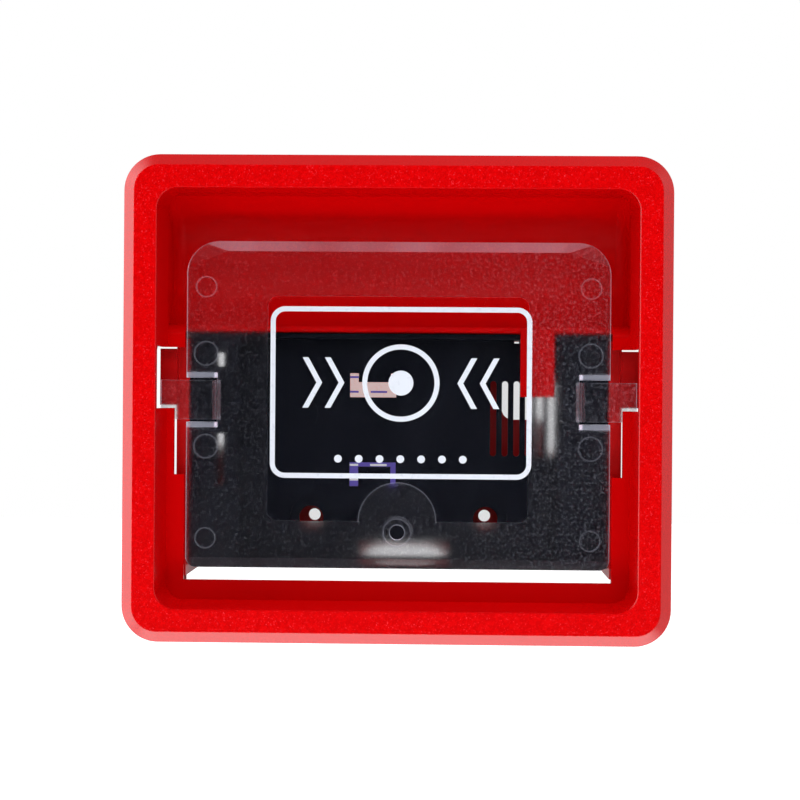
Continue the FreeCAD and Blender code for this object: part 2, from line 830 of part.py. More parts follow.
def guide():
    """Right guide wall beside the key plate, with the plate behind a tongue."""
    low = block(guide_inner, guide_inner + guide_wall, guide_front, back_front,
                guide_bottom, stem_notch_bottom - catch_margin)
    recessed = block(guide_inner, guide_inner + guide_wall, guide_set_back, back_front,
                     guide_bottom, guide_top)
    lip = block(guide_inner, guide_outer, guide_set_back, guide_set_back + guide_lip_thickness,
                stem_notch_bottom - catch_margin, notch_top + lip_cover)
    tie = block(guide_inner, guide_inner + guide_wall, pocket_depth + tub_wall + 2, back_front,
                guide_top - lip_cover, guide_top - lip_cover + guide_tie_height)
    catch = block(guide_outer - 0.5, tongue_outer + catch_side_margin, catch_front,
                  catch_front + catch_thickness, notch_step + 1, notch_top - catch_margin)
    return joined([low, recessed, lip, tie, catch])


def case_guides():
    return Part.makeCompound(both_sides(guide()))


def back_windows():
    """Cable and fixing openings in the back plate."""
    front = back_front - 1
    back = overall_depth + 1
    top = lip_under - 2
    band_top = tongue_centre - side_window_drop
    deep_bottom = stem_notch_bottom - notch_window_drop
    cuts = []
    left = rounded_block(-side_window_outer, -left_window_edge, front, back, band_top, top, window_corner)
    cuts.append(left)
    right_low = tongue_centre - right_window_drop
    cuts.append(rounded_block(right_window_edge, side_window_outer, front, back, right_low, top,
                              window_corner))
    cuts.append(rounded_block(right_window_step, guide_inner - 1, front, back, band_top - 2, top,
                              window_corner))
    outer_slot = block(guide_outer + 1, side_window_outer, front, back, deep_bottom, top - window_corner)
    cuts += both_sides(outer_slot)
    cuts.append(block(-guide_outer, guide_outer, front, back, -half_height + case_inset + case_wall,
                      plate_bottom - 1.3))
    seal_top = seal_slot_bottom + seal_slot_height / 2
    bottom_low = seal_top - 2.2 * bottom_window_radius
    cuts.append(rounded_block(bottom_window_left, bottom_window_left + bottom_window_width, front, back,
                              bottom_low, seal_top, bottom_window_radius))
    return cuts


def locating_lips():
    """Four lips that set the front cover straight on the rear case."""
    outer = case_inset + case_wall - 0.1
    inner = cover_wall + case_gap
    start = case_front - locating_length
    end = case_front + locating_reach
    reach_x = half_width - 2.2 * corner_radius
    reach_z = half_height - 2.2 * corner_radius
    lips = []
    for side in (-1, 1):
        x = side * (half_width - inner - locating_lip / 2)
        z = side * (half_height - inner - locating_lip / 2)
        lips.append(block(x - locating_lip / 2, x + locating_lip / 2, start, end, -reach_z, reach_z))
        lips.append(block(-reach_x, reach_x, start, end, z - locating_lip / 2, z + locating_lip / 2))
        foot_x = side * (half_width - (outer + inner + locating_lip) / 2)
        foot_z = side * (half_height - (outer + inner + locating_lip) / 2)
        foot = (inner + locating_lip - outer) / 2
        lips.append(block(foot_x - foot, foot_x + foot, case_front, end, -reach_z, reach_z))
        lips.append(block(-reach_x, reach_x, case_front, end, foot_z - foot, foot_z + foot))
    return lips


def rear_case():
    inner_inset = case_inset + case_wall
    outside = slab(cover_outline(case_inset, case_front), overall_depth - case_front)
    inside = slab(cover_outline(inner_inset, case_front - 1), back_front - case_front + 1)
    body = outside.cut(inside)
    columns = [rod(x, z, boss_radius, case_front, overall_depth) for x, z in corner_places()]
    pillars = [rod(x, z, boss_radius, boss_end, overall_depth) for x, z in plate_boss_places()]
    within = slab(cover_outline(case_inset, case_front - locating_length - 1), overall_depth)
    columns = [column.common(within) for column in columns]
    body = joined([body] + columns + pillars + locating_lips())
    for cut in back_windows():
        body = body.cut(cut)
    for x, z in corner_places():
        seat = case_front + screw_seat
        body = body.cut(rod(x, z, screw_hole_radius, case_front - 1, overall_depth + 1))
        body = body.cut(rod(x, z, head_well_radius, seat, overall_depth + 1))
    for x, z in plate_boss_places():
        seat = boss_end + screw_seat
        body = body.cut(rod(x, z, screw_hole_radius, boss_end - 1, overall_depth + 1))
        body = body.cut(rod(x, z, head_well_radius, seat, overall_depth + 1))
    for x, z in wall_hole_places():
        body = body.cut(rod(x, z, wall_hole_radius, back_front - 1, overall_depth + 1))
    return body


def screw(x, z, seat, length):
    """Pan head screw driven forwards from behind, its head on a seat at one depth."""
    head = rod(x, z, screw_head_radius, seat, seat + screw_head_height)
    shank = rod(x, z, screw_radius, seat - length, seat)
    tip = Part.makeCone(screw_radius, screw_radius * 0.4, screw_radius * 1.5,
                        FreeCAD.Vector(x, y_at(seat - length), z), FreeCAD.Vector(0, -1, 0))
    body = joined([head, shank, tip])
    arm = screw_head_radius * 0.62
    blade = screw_head_radius * 0.14
    top = seat + screw_head_height
    depth = screw_head_height * 0.55
    flat = block(x - arm, x + arm, top - depth, top + 1, z - blade, z + blade)
    upright = block(x - blade, x + blade, top - depth, top + 1, z - arm, z + arm)
    return body.cut(flat).cut(upright)


def case_screws():
    seat = case_front + screw_seat
    return Part.makeCompound([screw(x, z, seat, case_screw_length) for x, z in corner_places()])


def plate_screws():
    seat = boss_end + screw_seat
    return Part.makeCompound([screw(x, z, seat, plate_screw_length) for x, z in plate_boss_places()])


def inner_label():
    left = hook_window_centre - label_width / 2
    middle = (upper_hook_z + lower_hook_z - hook_window_height) / 2
    return rounded_block(left, left + label_width, back_front - label_thickness, back_front,
                         middle - label_height / 2, middle + label_height / 2, label_edge)


def slider():
    """Black slider in the left slot of the key plate. Its nose follows the slope of the tongue."""
    outer = -slot_outer + slider_gap
    inner = -slot_inner - slider_gap
    bottom = tongue_centre - slider_height / 2
    top = tongue_centre + slider_height / 2
    shoulder_front = strip_back + slider_set_back
    shoulder_back = shoulder_front + slider_shoulder_thickness
    blade = block(outer, inner, plate_front - 2, shoulder_front + 0.5, bottom, top)
    shoulder = block(outer - slider_shoulder, inner + slider_shoulder, shoulder_front, shoulder_back,
                     bottom, top)
    step = tongue_front - panel_front
    fall = tongue_slope_run / step
    slope = math.hypot(tongue_slope_run, step)
    shift = tongue_thickness * slope / step
    line_start = -tongue_inner + shift
    outer_front = panel_front + (line_start - outer) / fall + slider_nose_gap
    inner_front = panel_front + max(line_start - inner, panel_thickness * fall) / fall + slider_nose_gap
    nose = plan_profile([
        (outer, outer_front),
        (inner, inner_front),
        (inner, plate_front),
        (outer, plate_front),
    ], tongue_centre + slider_nose_rise - slider_nose_height, tongue_centre + slider_nose_rise)
    nub_z = pivot_z + slider_contact_height
    nub_back = (pivot_depth - slider_contact_height * math.tan(lean) - lever_thickness / 2
                - lever_contact_gap)
    nub = block(outer, inner, shoulder_back - 0.5, nub_back,
                nub_z - nub_height / 2, nub_z + nub_height / 2)
    return joined([blade, shoulder, nose, nub])


def lever():
    """Spring steel lever, rolled round its pin at the lower end."""
    left = -switch_place - lever_width / 2
    right = -switch_place + lever_width / 2
    root = cross_rod(left, right, pivot_depth, pivot_z, lever_root_radius)
    arm = Part.makeBox(lever_width, lever_thickness, lever_length,
                       FreeCAD.Vector(left, y_at(pivot_depth) - lever_thickness / 2, pivot_z))
    arm.rotate(FreeCAD.Vector(left, y_at(pivot_depth), pivot_z), FreeCAD.Vector(1, 0, 0), lever_lean)
    body = joined([root, arm])
    return body.cut(cross_rod(left - 1, right + 1, pivot_depth, pivot_z, lever_pin_radius + running_gap))


def lever_pin():
    reach = lever_width / 2 + ear_gap + ear_thickness
    return cross_rod(-switch_place - reach, -switch_place + reach, pivot_depth, pivot_z, lever_pin_radius)


def plunger():
    z = pivot_z + plunger_height
    front = pivot_depth - plunger_height * math.tan(lean) + lever_thickness / 2 + lever_contact_gap
    stem = rod(-switch_place, z, plunger_radius, front, flange_front + 0.1)
    flange = rod(-switch_place, z, plunger_flange_radius, flange_front, flange_front + plunger_flange_height)
    return joined([stem, flange])


def switch_hole_places():
    return [tongue_centre + side * switch_hole_spacing / 2 for side in (-1, 1)]


def terminal_places():
    return [tongue_centre + index * terminal_pitch for index in (-1, 0, 1)]


def switch_sides():
    outer = -switch_place - switch_thickness / 2
    inner = -switch_place + switch_thickness / 2
    return outer, inner, inner - switch_wall


def switch_case():
    outer, inner, split = switch_sides()
    body = block(outer, split, switch_front, switch_back, switch_bottom, switch_top)
    chamber = block(outer + switch_wall, split + 1, switch_front + switch_wall, chamber_back,
                    switch_bottom + switch_wall, switch_top - switch_wall)
    body = body.cut(chamber)
    ears = []
    for start in (-switch_place - lever_width / 2 - ear_gap - ear_thickness,
                  -switch_place + lever_width / 2 + ear_gap):
        ears.append(block(max(start, outer), min(start + ear_thickness, split),
                          pivot_depth - 2 * lever_pin_radius, switch_front + 0.5,
                          switch_bottom, pivot_z + 3 * lever_pin_radius))
    body = joined([body] + [ear for ear in ears if ear.Volume > 0])
    body = body.cut(rod(-switch_place, pivot_z + plunger_height, plunger_radius + running_gap,
                        switch_front - 1, switch_front + switch_wall + 1))
    pin_reach = lever_width / 2 + ear_gap + ear_thickness
    body = body.cut(cross_rod(-switch_place - pin_reach - 1, -switch_place + pin_reach + 1,
                              pivot_depth, pivot_z, lever_pin_radius + thread_gap))
    for z in terminal_places():
        width = terminal_width / 2 + terminal_slot_gap
        thickness = terminal_thickness / 2 + terminal_slot_gap
        body = body.cut(block(-switch_place - thickness, -switch_place + thickness, chamber_back - 1,
                              switch_back + 1, z - width, z + width))
    for z in switch_hole_places():
        body = body.cut(cross_rod(outer - 1, split + 1, switch_back - switch_hole_rise, z,
                                  switch_screw_radius + running_gap))
    return body


def switch_cover():
    outer, inner, split = switch_sides()
    body = block(split, inner, switch_front, switch_back, switch_bottom, switch_top)
    for z in switch_hole_places():
        body = body.cut(cross_rod(split - 1, inner + 1, switch_back - switch_hole_rise, z,
                                  switch_screw_radius + running_gap))
    return body


def switch_blade():
    margin = switch_wall + 0.4
    return block(-switch_place - blade_width / 2, -switch_place + blade_width / 2, blade_front,
                 blade_front + blade_thickness, switch_bottom + margin, switch_top - margin)


def switch_terminals():
    """Three brass tabs. The middle one carries the blade and the others stop just short of it."""
    blade_back = blade_front + blade_thickness
    shapes = []
    for index, z in enumerate(terminal_places()):
        start = blade_back if index == 1 else blade_back + 0.5
        width = terminal_width / 2
        tab = block(-switch_place - terminal_thickness / 2, -switch_place + terminal_thickness / 2,
                    start, switch_back + terminal_length, z - width, z + width)
        hole_depth = switch_back + terminal_length * 0.6
        shapes.append(tab.cut(cross_rod(-switch_place - 1, -switch_place + 1, hole_depth, z, 0.7)))
    return Part.makeCompound(shapes)


def switch_screws():
    outer, inner, split = switch_sides()
    shapes = []
    for z in switch_hole_places():
        depth = switch_back - switch_hole_rise
        head = cross_rod(outer - switch_screw_head_height, outer, depth, z, switch_screw_head_radius)
        shank = cross_rod(outer, -strip_inner - 0.4, depth, z, switch_screw_radius)
        slot = block(outer - switch_screw_head_height - 1, outer - switch_screw_head_height / 2,
                     depth - 0.25, depth + 0.25, z - 3, z + 3)
        shapes.append(joined([head, shank]).cut(slot))
    return Part.makeCompound(shapes)


os.makedirs("parts", exist_ok=True)
save("front_cover", front_cover())
save("rear_case", rear_case())
save("case_guides", case_guides())
save("key_plate", key_plate())
save("clear_panel", clear_panel())
save("panel_print", panel_print())
save("inner_label", inner_label())
save("case_screws", case_screws())
save("plate_screws", plate_screws())
save("switch_slider", slider())
save("switch_lever", lever())
save("lever_pin", lever_pin())
save("switch_plunger", plunger())
save("switch_case", switch_case())
save("switch_cover", switch_cover())
save("switch_blade", switch_blade())
save("switch_terminals", switch_terminals())
save("switch_screws", switch_screws())
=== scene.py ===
import math

import bpy
from mathutils import Euler, Matrix, Vector


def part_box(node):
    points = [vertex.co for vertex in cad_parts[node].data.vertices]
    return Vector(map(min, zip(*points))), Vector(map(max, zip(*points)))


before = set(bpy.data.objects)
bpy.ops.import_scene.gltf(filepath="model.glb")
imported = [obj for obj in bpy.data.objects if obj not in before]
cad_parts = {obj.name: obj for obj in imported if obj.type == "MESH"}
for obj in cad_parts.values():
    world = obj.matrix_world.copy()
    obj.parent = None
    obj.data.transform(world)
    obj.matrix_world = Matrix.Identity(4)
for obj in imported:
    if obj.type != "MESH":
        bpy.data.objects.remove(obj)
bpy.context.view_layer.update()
print("frame loaded:", len(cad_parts), "pieces")

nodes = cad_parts
scene = bpy.context.scene
panelLow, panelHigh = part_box("clear_panel")
coverLow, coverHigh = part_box("front_cover")


def socket(holder, name):
    # first socket of that name that is in use, because some shaders hide twins
    for entry in holder:
        if entry.name == name and entry.enabled:
            return entry
    return holder[name]


class Tree:
    # a thin wrapper that keeps node building short
    def __init__(self, tree):
        self.tree = tree
        self.column = 0

    def add(self, kind, settings=None, **inputs):
        node = self.tree.nodes.new(kind)
        node.location = (self.column, 0)
        self.column += 190     # each node stands to the right of the last one
        for name, value in (settings or {}).items():
            setattr(node, name, value)
        for name, value in inputs.items():
            self.put(node, name.replace("_", " "), value)
        return node

    def put(self, node, name, value):
        target = node.inputs[name] if isinstance(name, int) else socket(node.inputs, name)
        if isinstance(value, bpy.types.NodeSocket):
            self.tree.links.new(value, target)
        elif isinstance(value, bpy.types.Node):
            self.tree.links.new(value.outputs[0], target)
        else:
            target.default_value = value

    def maths(self, operation, *values):
        node = self.add("ShaderNodeMath", {"operation": operation})
        for index, value in enumerate(values):
            self.put(node, index, value)
        return node.outputs[0]

    def times(self, first, *others):
        for value in others:
            first = self.maths("MULTIPLY", first, value)
        return first

    def highest(self, first, *others):
        for value in others:
            first = self.maths("MAXIMUM", first, value)
        return first

    def away(self, value, middle):
        # how far a value is from the middle, to either side
        return self.maths("ABSOLUTE", self.maths("SUBTRACT", value, middle))

    def ramp(self, value, low, high, toLow=0.0, toHigh=1.0, smooth=True):
        kind = "SMOOTHSTEP" if smooth else "LINEAR"
        node = self.add("ShaderNodeMapRange", {"interpolation_type": kind})
        for index, entry in enumerate((value, low, high, toLow, toHigh)):
            self.put(node, index, entry)
        return node.outputs[0]

    def between(self, value, low, high, soft):
        return self.times(self.ramp(value, low, low + soft), self.ramp(value, high, high + soft, 1.0, 0.0))

    def reach(self, across, up):
        # distance of a point from where both are 0
        spot = self.add("ShaderNodeCombineXYZ", X=across, Y=up)
        length = self.add("ShaderNodeVectorMath", {"operation": "LENGTH"})
        self.put(length, 0, spot)
        return length.outputs["Value"]

    def noise(self, vector, scale, detail, **more):
        return self.add("ShaderNodeTexNoise", Vector=vector, Scale=scale, Detail=detail, **more).outputs[0]

    def mixColours(self, factor, first, second):
        node = self.add("ShaderNodeMix", {"data_type": "RGBA", "blend_type": "MIX"})
        self.put(node, 0, factor)
        self.put(node, 6, first)
        self.put(node, 7, second)
        return node.outputs[2]

    def ownVector(self):
        # the piece's own coordinates in metres, so marks stay put when it moves
        return self.add("ShaderNodeTexCoord").outputs["Object"]

    def ownPlace(self):
        vector = self.ownVector()
        parts = self.add("ShaderNodeSeparateXYZ", Vector=vector)
        return vector, parts.outputs[0], parts.outputs[1], parts.outputs[2]

    def facing(self):
        # the three parts of the way that the surface looks
        coordinates = self.add("ShaderNodeTexCoord")
        return self.add("ShaderNodeSeparateXYZ", Vector=coordinates.outputs["Normal"]).outputs


def newGroup(name, takes, gives):
    group = bpy.data.node_groups.new(name, "ShaderNodeTree")
    for label, kind, value in takes:
        entry = group.interface.new_socket(label, in_out="INPUT", socket_type=kind)
        if value is not None:
            entry.default_value = value
    for label, kind in gives:
        group.interface.new_socket(label, in_out="OUTPUT", socket_type=kind)
    tree = Tree(group)
    return group, tree, tree.add("NodeGroupInput").outputs


def endGroup(tree, **results):
    end = tree.add("NodeGroupOutput")
    for name, value in results.items():
        tree.put(end, name.replace("_", " "), value)


def useGroup(tree, group, **inputs):
    node = tree.add("ShaderNodeGroup", {"node_tree": group})
    for name, value in inputs.items():
        tree.put(node, name.replace("_", " "), value)
    return node.outputs


# effects that several finishes share

grainLook = {
    "fineDetail": 3.0,
    "fineRoughness": 0.62,
    "coarseShare": 0.37,      # scale of the coarse grain, as a share of the fine one
    "coarseDetail": 2.0,
    "fineWeight": 0.55,
    "coarseWeight": 0.45,
    "speckStart": 0.78,       # with no specks asked for
    "speckDrop": 0.22,
    "speckSoft": 0.1,
}


def sparkGrainGroup():
    # fine spark-eroded grain of a moulding tool: a height, and a sparse mask of bright specks that serve as
    # painted glints
    group, tree, start = newGroup(
        "sparkGrain",
        [("Vector", "NodeSocketVector", None), ("Grain Scale", "NodeSocketFloat", 2600.0),
         ("Speck Amount", "NodeSocketFloat", 0.3)],
        [("Height", "NodeSocketFloat"), ("Specks", "NodeSocketFloat")])
    fine = tree.noise(start["Vector"], start["Grain Scale"], grainLook["fineDetail"],
                      Roughness=grainLook["fineRoughness"])
    coarseScale = tree.times(start["Grain Scale"], grainLook["coarseShare"])
    coarse = tree.noise(start["Vector"], coarseScale, grainLook["coarseDetail"])
    height = tree.maths("MULTIPLY_ADD", coarse, grainLook["coarseWeight"],
                        tree.times(fine, grainLook["fineWeight"]))
    edge = tree.maths("SUBTRACT", grainLook["speckStart"],
                      tree.times(start["Speck Amount"], grainLook["speckDrop"]))
    specks = tree.ramp(fine, edge, tree.maths("ADD", edge, grainLook["speckSoft"]))
    endGroup(tree, Height=height, Specks=specks)
    return group


handlingLook = {
    "stretch": (1.0, 1.0, 0.45),
    "smearDetail": 4.0,
    "smearRoughness": 0.6,
    "smearTwist": 1.2,
    "moteScale": 2200.0,
    "moteRange": (0.62, 0.72),
    "upwardRange": (0.2, 0.9),
}


def handlingGroup():
    # faint smears that change the gloss, and a little dust on surfaces that look up
    group, tree, start = newGroup(
        "handling",
        [("Vector", "NodeSocketVector", None), ("Smear Scale", "NodeSocketFloat", 26.0),
         ("Dust", "NodeSocketFloat", 0.2)],
        [("Smear", "NodeSocketFloat"), ("Dust Mask", "NodeSocketFloat")])
    warped = tree.add("ShaderNodeMapping", Vector=start["Vector"], Scale=handlingLook["stretch"])
    smear = tree.noise(warped, start["Smear Scale"], handlingLook["smearDetail"],
                       Roughness=handlingLook["smearRoughness"], Distortion=handlingLook["smearTwist"])
    motes = tree.noise(start["Vector"], handlingLook["moteScale"], 1.0)
    upward = tree.ramp(tree.facing()[2], *handlingLook["upwardRange"])
    dots = tree.ramp(motes, *handlingLook["moteRange"])
    endGroup(tree, Smear=smear, Dust_Mask=tree.times(upward, dots, start["Dust"]))
    return group


def brushedGroup():
    # fine lines of rolled or turned metal along one axis
    group, tree, start = newGroup(
        "brushed",
        [("Vector", "NodeSocketVector", None), ("Line Scale", "NodeSocketFloat", 1800.0)],
        [("Height", "NodeSocketFloat"), ("Tone", "NodeSocketFloat")])
    stretched = tree.add("ShaderNodeMapping", Vector=start["Vector"], Scale=(1.0, 1.0, 0.06))
    lines = tree.noise(stretched, start["Line Scale"], 2.0)
    endGroup(tree, Height=lines, Tone=tree.ramp(lines, 0.3, 0.7))
    return group


sparkGrain = sparkGrainGroup()
handling = handlingGroup()
brushed = brushedGroup()
print("shared effects built")


# finishes

plasticBending = 1.5      # index of refraction of the opaque plastics and the ink


def newMaterial(name):
    material = bpy.data.materials.new(name)
    material.use_nodes = True
    material.node_tree.nodes.clear()
    return material, Tree(material.node_tree)


def finishMaterial(tree, **values):
    shader = tree.add("ShaderNodeBsdfPrincipled")
    for name, value in values.items():
        tree.put(shader, name.replace("_", " "), value)
    output = tree.add("ShaderNodeOutputMaterial")
    tree.tree.links.new(shader.outputs[0], output.inputs[0])
    return shader


def bumpFrom(tree, height, strength, distance):
    return tree.add("ShaderNodeBump", Strength=strength, Distance=distance, Height=height).outputs[0]


coverLook = {
    "red": (0.64, 0.0004, 0.0012, 1),
    "deepRed": (0.6, 0.0003, 0.001, 1),
    # painted shade in the low points of the band's grain
    "pitShadeRed": (0.53, 0.0002, 0.0008, 1),
    # a darker copy of the red for all but the band: painted shade
    "shadedRed": (0.53, 0.0003, 0.001, 1),
    # painted glints on the band's grain
    "paintedGlintRed": (0.8, 0.035, 0.05, 1),
    "dustRed": (0.8, 0.5, 0.5, 1),
    "dust": 0.06,
    "dustMix": 0.35,
    "smearScale": 18.0,
    "cloudScale": 55.0,
    "bandGrain": 1900.0,      # scale of the grain on the front band
    # amount of the painted glints
    "specks": 0.75,
    "pitRange": (0.42, 0.56),
    "bandRoughness": 0.3,     # with the grain's part on top
    "grainMatting": 0.16,
    "wallRoughness": 0.16,    # with the smears' part on top
    "smearMatting": 0.12,
    "wallBump": 0.04,
    "bandBump": 0.4,
    "bandDepth": 0.0001,
    "frontFace": -0.055,
    "bandRange": (0.0001, 0.0003),    # behind the front face
    "lipRange": (0.0005, 0.0007),
    "polishedRim": 0.0105,    # this near the outline all but the band is the polished bevel
    "rimSoft": 0.0005,
    "specular": 0.04,
    "coatRoughness": 0.16,
}


def redCoverMaterial():
    look = coverLook
    material, tree = newMaterial("redCover")
    vector, x, y, z = tree.ownPlace()
    front = look["frontFace"]
    bandStart, bandEnd = look["bandRange"]
    band = tree.ramp(y, front + bandStart, front + bandEnd, 1.0, 0.0)
    grain = useGroup(tree, sparkGrain, Vector=vector, Grain_Scale=look["bandGrain"],
                     Speck_Amount=look["specks"])
    marks = useGroup(tree, handling, Vector=vector, Smear_Scale=look["smearScale"], Dust=look["dust"])

    cloud = tree.noise(vector, look["cloudScale"], 3.0)
    matte = tree.mixColours(tree.ramp(cloud, 0.35, 0.7), look["red"], look["deepRed"])
    # painted shade: every surface but the grained front band takes a darker copy of the red
    tone = tree.mixColours(band, look["shadedRed"], matte)
    # painted shade: the low points of the band's grain are painted a darker red
    pitStart, pitEnd = look["pitRange"]
    paintedPitShade = tree.times(tree.ramp(grain["Height"], pitStart, pitEnd, 1.0, 0.0), band)
    pitShaded = tree.mixColours(paintedPitShade, tone, look["pitShadeRed"])
    # painted glints: bright specks of the band's grain are painted a pale red
    glinted = tree.mixColours(tree.times(grain["Specks"], band), pitShaded, look["paintedGlintRed"])
    dusty = tree.mixColours(tree.times(marks["Dust Mask"], look["dustMix"]), glinted, look["dustRed"])

    smooth = tree.maths("MULTIPLY_ADD", marks["Smear"], look["smearMatting"], look["wallRoughness"])
    rough = tree.maths("MULTIPLY_ADD", grain["Height"], look["grainMatting"], look["bandRoughness"])
    roughness = tree.ramp(band, 0.0, 1.0, smooth, rough, smooth=False)
    strength = tree.ramp(band, 0.0, 1.0, look["wallBump"], look["bandBump"], smooth=False)
    normal = bumpFrom(tree, grain["Height"], strength, look["bandDepth"])

    # a clear coat on the bevel outside and on the mouth's small front edge
    rim = look["polishedRim"]
    outerX = tree.maths("SUBTRACT", tree.maths("ABSOLUTE", x), coverHigh.x - rim)
    outerZ = tree.maths("SUBTRACT", tree.away(z, (coverLow.z + coverHigh.z) / 2),
                        (coverHigh.z - coverLow.z) / 2 - rim)
    outside = tree.ramp(tree.highest(outerX, outerZ), 0.0, look["rimSoft"])
    lipStart, lipEnd = look["lipRange"]
    lip = tree.ramp(y, front + lipStart, front + lipEnd, 1.0, 0.0)
    lip = tree.times(lip, tree.ramp(tree.maths("ABSOLUTE", tree.facing()[0]), 0.3, 0.6))
    polish = tree.times(tree.highest(outside, lip), tree.maths("SUBTRACT", 1.0, band))

    shader = finishMaterial(tree, Base_Color=dusty, Roughness=roughness, Normal=normal, Coat_Weight=polish)
    shader.inputs["IOR"].default_value = plasticBending
    shader.inputs["Specular IOR Level"].default_value = look["specular"]
    shader.inputs["Coat Roughness"].default_value = look["coatRoughness"]
    return material


caseLook = {
    "red": (0.52, 0.001, 0.002, 1),
    "deepRed": (0.47, 0.0008, 0.0015, 1),
    "dustRed": (0.75, 0.45, 0.45, 1),
    "dust": 0.12,
    "dustMix": 0.4,
    "smearScale": 22.0,
    "cloudScale": 40.0,
    "grain": 1500.0,
    "grainBump": 0.3,
    "grainDepth": 0.00006,
    "roughness": 0.31,        # with the smears' part on top
    "smearMatting": 0.14,
    "specular": 0.25,
}


def redCaseMaterial():
    look = caseLook
    material, tree = newMaterial("redCase")
    vector = tree.ownVector()
    grain = useGroup(tree, sparkGrain, Vector=vector, Grain_Scale=look["grain"])
    marks = useGroup(tree, handling, Vector=vector, Smear_Scale=look["smearScale"], Dust=look["dust"])
    cloud = tree.noise(vector, look["cloudScale"], 3.0)
    tone = tree.mixColours(tree.ramp(cloud, 0.35, 0.7), look["red"], look["deepRed"])
    dusty = tree.mixColours(tree.times(marks["Dust Mask"], look["dustMix"]), tone, look["dustRed"])
    roughness = tree.maths("MULTIPLY_ADD", marks["Smear"], look["smearMatting"], look["roughness"])
    normal = bumpFrom(tree, grain["Height"], look["grainBump"], look["grainDepth"])
    shader = finishMaterial(tree, Base_Color=dusty, Roughness=roughness, Normal=normal)
    shader.inputs["IOR"].default_value = plasticBending
    shader.inputs["Specular IOR Level"].default_value = look["specular"]
    return material


panelLook = {
    # the polished window and the round land that the frosting keeps round the seal hole
    "windowHalfWidth": 0.044,
    "windowTop": 0.0184,      # below the panel's top edge
    "windowBottom": 0.0159,   # above its bottom edge
    "windowRadius": 0.0034,
    "landRadius": 0.0131,
    "windowSoft": 0.00012,
    "polishRoughness": 0.012,
    "polishMatting": 0.012,
    # frosting
    "frostDepth": 0.0015,     # behind the front face, so that the bevels are in it
    "frostSoft": 0.0002,
    "frostRoughness": 0.27,   # with the smears' part on top
    "frostMatting": 0.05,
    "frostGrain": 2500.0,
    "frostBump": 0.08,
    "frostGrainDepth": 0.0007,
    "fleckRange": (0.5, 0.62),
    "smearScale": 30.0,
    "tint": (0.97, 0.972, 0.98, 1),
    "frostTint": (0.72, 0.72, 0.76, 1),
    "reflection": (0.12, 0.12, 0.14, 1),    # keeps a grey fog off the frosting
    "shadowPass": 0.85,       # light that gets through to what lies behind
    "bending": 1.58,
    # painted glow, as the panel is no lamp: painted highlights on the frosting, cut edges, top bevel, ribs and
    # mark lines
    "paintedGlow": (0.76, 0.78, 0.95, 1),
    "paintedHaze": 0.001,
    "paintedSpeckGlints": 0.045,
    # painted light: the glints are stronger towards the right and lower down
    "paintedLightAcross": (-0.02, 0.07, 0.75, 1.6),     # from and to this place, from and to this much
    "paintedLightDown": (0.05, 0.0, 0.7, 1.0),
    "paintedEdgeGlow": 0.32,
    "paintedBevelHighlight": 0.1,
    "paintedRibGlow": 0.15,
    "paintedMarkGlow": 0.055,
    "markLine": 0.00018,
    # tongues and the ribs beside them
    "ribStart": 0.0613,       # from the middle
    "ribEnd": 0.0712,
    "ribNear": 0.0075,        # from the tongue's middle
    "ribFar": 0.0091,
    "ribSoft": 0.0003,
    "tongueHeight": 0.0565,   # above the bottom edge
    "tongueFace": -0.0339,    # depth of the tongues' front
    "tongueBefore": 0.0007,   # frosted from this far before that face
    "tongueBehind": 0.0009,   # to this far behind it
    "tongueSoft": 0.0002,
    "tongueInner": 0.0005,    # frosted from this much nearer to the middle than the ribs
    "tongueRoot": 0.0655,     # cut edges nearer to the middle than this glow less
    "rootSoft": 0.0005,
    "rootReach": (0.0095, 0.0105),    # from the tongue's middle
    "rootDimming": 0.75,
    # round marks: distance from the middle, height above the bottom edge, radius
    "marks": [(0.06484, 0.09468, 0.0034), (0.06484, 0.00986, 0.0034), (0.06484, 0.07215, 0.004),
              (0.06484, 0.04085, 0.004), (0.0, 0.0122, 0.0026), (0.0, 0.0122, 0.0047)],
}


def ringLine(tree, x, z, centreX, centreZ, radius):
    reach = tree.reach(tree.maths("SUBTRACT", x, centreX), tree.maths("SUBTRACT", z, centreZ))
    line = panelLook["markLine"]
    return tree.ramp(tree.away(reach, radius), line * 0.6, line * 1.4, 1.0, 0.0)


def polishedPart(tree, x, z, bottom, top):
    # mask of the rounded window, without the land round the seal hole
    look = panelLook
    radius, land, soft = look["windowRadius"], look["landRadius"], look["windowSoft"]
    alongX = tree.maths("SUBTRACT", tree.maths("ABSOLUTE", x), look["windowHalfWidth"] - radius)
    alongZ = tree.maths("SUBTRACT", tree.away(z, (top + bottom) / 2), (top - bottom) / 2 - radius)
    corner = tree.reach(tree.highest(alongX, 0.0), tree.highest(alongZ, 0.0))
    inside = tree.ramp(corner, radius - soft, radius + soft, 1.0, 0.0)
    landReach = tree.reach(x, tree.maths("SUBTRACT", z, bottom))
    onLand = tree.ramp(landReach, land - soft, land + soft, 1.0, 0.0)
    return tree.times(inside, tree.maths("SUBTRACT", 1.0, onLand))


